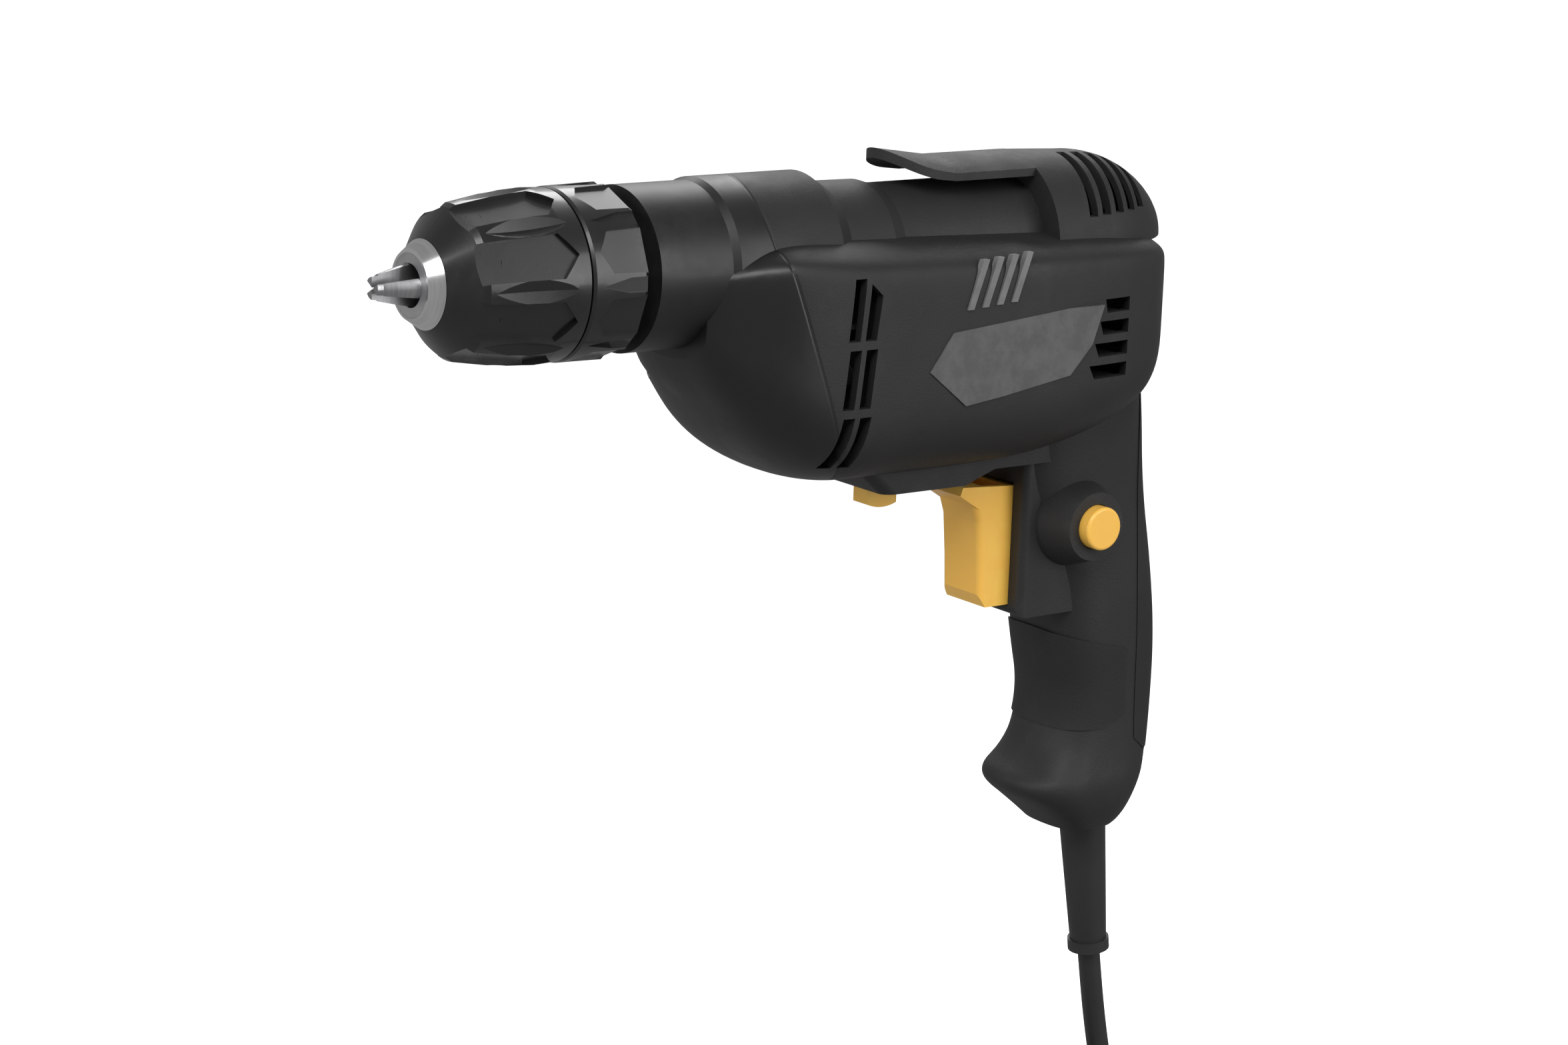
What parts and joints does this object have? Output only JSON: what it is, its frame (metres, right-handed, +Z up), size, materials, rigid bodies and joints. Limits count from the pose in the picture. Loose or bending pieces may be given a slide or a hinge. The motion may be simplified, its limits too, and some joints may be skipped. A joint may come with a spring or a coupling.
{
  "type": "corded mains drill",
  "caption": "Pistol-grip mains drill with keyless chuck, amber trigger, lock button and reversing lever, belt hook and a coiled cord with a two-pin plug.",
  "frame": {"origin": "middle of the hand grip, on the plane where the two housing shells meet", "axes": "+X along the spindle from the chuck to the rear of the drill, +Y to the user's right, +Z up from the grip to the spindle"},
  "size_m": [0.2672, 0.067, 0.3958],
  "materials": {
    "housing_plastic": "fine texture, charcoal",
    "soft_grip": "matte, near black",
    "badge_grey": "satin, mid grey",
    "accent_grey": "satin, light grey",
    "amber_plastic": "satin, amber yellow",
    "chuck_plastic": "smooth, black",
    "bright_chrome": "polished",
    "jaw_steel": "ground",
    "plain_steel": "machined",
    "stack_steel": "stacked sheets, oiled",
    "winding_copper": "varnished copper wire",
    "commutator_copper": "turned copper",
    "bush_bronze": "sintered bronze",
    "white_plastic": "white moulding",
    "carbon_black": "pressed carbon",
    "switch_black": "moulded",
    "cord_rubber": "matte, black"
  },
  "bodies": {
    "housing": {"left_housing": "housing_plastic", "right_housing": "housing_plastic", "left_badge": "badge_grey", "right_badge": "badge_grey", "left_accent_bars": "accent_grey", "right_accent_bars": "accent_grey", "left_grip_pad": "soft_grip", "right_grip_pad": "soft_grip", "left_grip_back": "soft_grip", "right_grip_back": "soft_grip", "housing_screws": "plain_steel", "spindle_bearing_outer_race": "plain_steel", "spindle_bush": "bush_bronze", "gear_plate": "switch_black", "armature_front_bearing_outer_race": "plain_steel", "armature_rear_bearing_outer_race": "plain_steel", "field_core": "stack_steel", "field_coils": "winding_copper", "fan_baffle": "switch_black", "brush_holders": "white_plastic", "carbon_brushes": "carbon_black", "brush_springs": "plain_steel", "trigger_spring": "plain_steel", "switch_body": "switch_black", "lock_spring": "plain_steel", "cord_clamp": "switch_black", "clamp_screws": "plain_steel", "strain_relief": "cord_rubber", "inner_cord": "cord_rubber", "cord": "cord_rubber", "cord_coil": "cord_rubber", "plug_lead": "cord_rubber", "plug_body": "cord_rubber", "plug_pins": "bright_chrome", "coil_tie": "switch_black"},
    "chuck": {"spindle": "plain_steel", "spindle_gear": "plain_steel", "spindle_bearing_inner_race": "plain_steel", "spindle_bearing_balls": "bright_chrome", "chuck_body": "plain_steel", "nose_ring": "bright_chrome", "rear_sleeve": "chuck_plastic", "chuck_screw": "plain_steel"},
    "chuck_sleeve": {"front_sleeve": "chuck_plastic", "jaw_nut": "plain_steel"},
    "jaw_1": {"chuck_jaw_1": "jaw_steel"},
    "jaw_2": {"chuck_jaw_2": "jaw_steel"},
    "jaw_3": {"chuck_jaw_3": "jaw_steel"},
    "armature": {"armature_shaft": "plain_steel", "armature_core": "stack_steel", "armature_windings": "winding_copper", "commutator": "commutator_copper", "cooling_fan": "switch_black", "armature_front_bearing_inner_race": "plain_steel", "armature_front_bearing_balls": "bright_chrome", "armature_rear_bearing_inner_race": "plain_steel", "armature_rear_bearing_balls": "bright_chrome"},
    "trigger": {"trigger": "amber_plastic"},
    "lock_button": {"lock_button": "amber_plastic"},
    "reversing_lever": {"reversing_lever": "amber_plastic"}
  },
  "joints": [
    {"name": "spindle_spin", "type": "hinge", "parent": "housing", "child": "chuck", "pos_m": [0, 0, 0.095], "axis": [1, 0, 0], "continuous": true},
    {"name": "armature_spin", "type": "hinge", "parent": "housing", "child": "armature", "pos_m": [0, 0, 0.0754], "axis": [1, 0, 0], "continuous": true},
    {"name": "sleeve_turn", "type": "hinge", "parent": "chuck", "child": "chuck_sleeve", "pos_m": [0, 0, 0.095], "axis": [1, 0, 0], "range_deg": [0, 4459]},
    {"name": "jaw_1_slide", "type": "slide", "parent": "chuck", "child": "jaw_1", "axis": [0.9659, -0.2588, 0], "range_m": [0, 0.0194]},
    {"name": "jaw_2_slide", "type": "slide", "parent": "chuck", "child": "jaw_2", "axis": [0.9659, 0.1294, -0.2241], "range_m": [0, 0.0194]},
    {"name": "jaw_3_slide", "type": "slide", "parent": "chuck", "child": "jaw_3", "axis": [0.9659, 0.1294, 0.2241], "range_m": [0, 0.0194]},
    {"name": "trigger_slide", "type": "slide", "parent": "housing", "child": "trigger", "axis": [1, 0, 0], "range_m": [0, 0.006], "stiffness_N_per_m": 900, "springref_m": -0.004, "deforming": ["trigger_spring"]},
    {"name": "lock_button_slide", "type": "slide", "parent": "housing", "child": "lock_button", "axis": [0, 1, 0], "range_m": [0, 0.003], "stiffness_N_per_m": 800, "springref_m": -0.003, "deforming": ["lock_spring"]},
    {"name": "reversing_lever_turn", "type": "hinge", "parent": "housing", "child": "reversing_lever", "pos_m": [-0.0465, 0, 0.04], "axis": [0, 0, 1], "range_deg": [-15, 15]}
  ],
  "couplings": [
    {"joint": "armature_spin", "follows": "spindle_spin", "ratio": -7},
    {"joint": "jaw_1_slide", "follows": "sleeve_turn", "m_per_rad": 0.000248},
    {"joint": "jaw_2_slide", "follows": "sleeve_turn", "m_per_rad": 0.000248},
    {"joint": "jaw_3_slide", "follows": "sleeve_turn", "m_per_rad": 0.000248}
  ]
}
